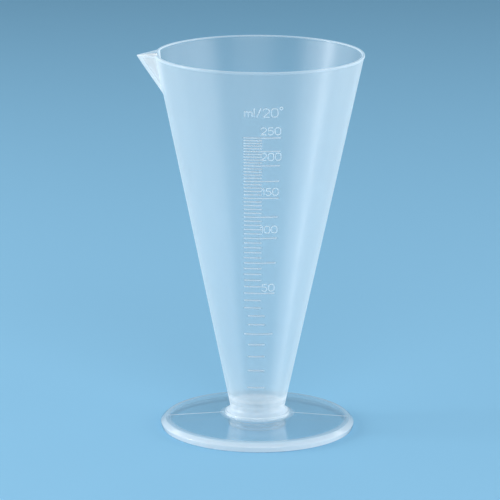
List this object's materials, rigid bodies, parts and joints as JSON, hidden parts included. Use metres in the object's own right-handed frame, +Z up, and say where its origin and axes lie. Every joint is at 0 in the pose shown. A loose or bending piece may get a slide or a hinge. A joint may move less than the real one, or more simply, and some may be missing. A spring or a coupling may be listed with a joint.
{
  "type": "conical graduate",
  "caption": "Translucent conical measuring cup with a pouring spout and raised graduation, seated in a round foot.",
  "frame": {"origin": "on the cone's axis, in the plane of the ring that the foot stands on", "axes": "+Z up along the cone's axis, spout towards -X, graduation facing -Y"},
  "size_m": [0.0964, 0.0888, 0.1632],
  "materials": {
    "cup_plastic": "natural translucent polypropylene, semi-gloss",
    "foot_plastic": "natural translucent polypropylene, glossy"
  },
  "bodies": {
    "root": {"measuring_cup": "cup_plastic", "foot": "foot_plastic"}
  },
  "joints": []
}
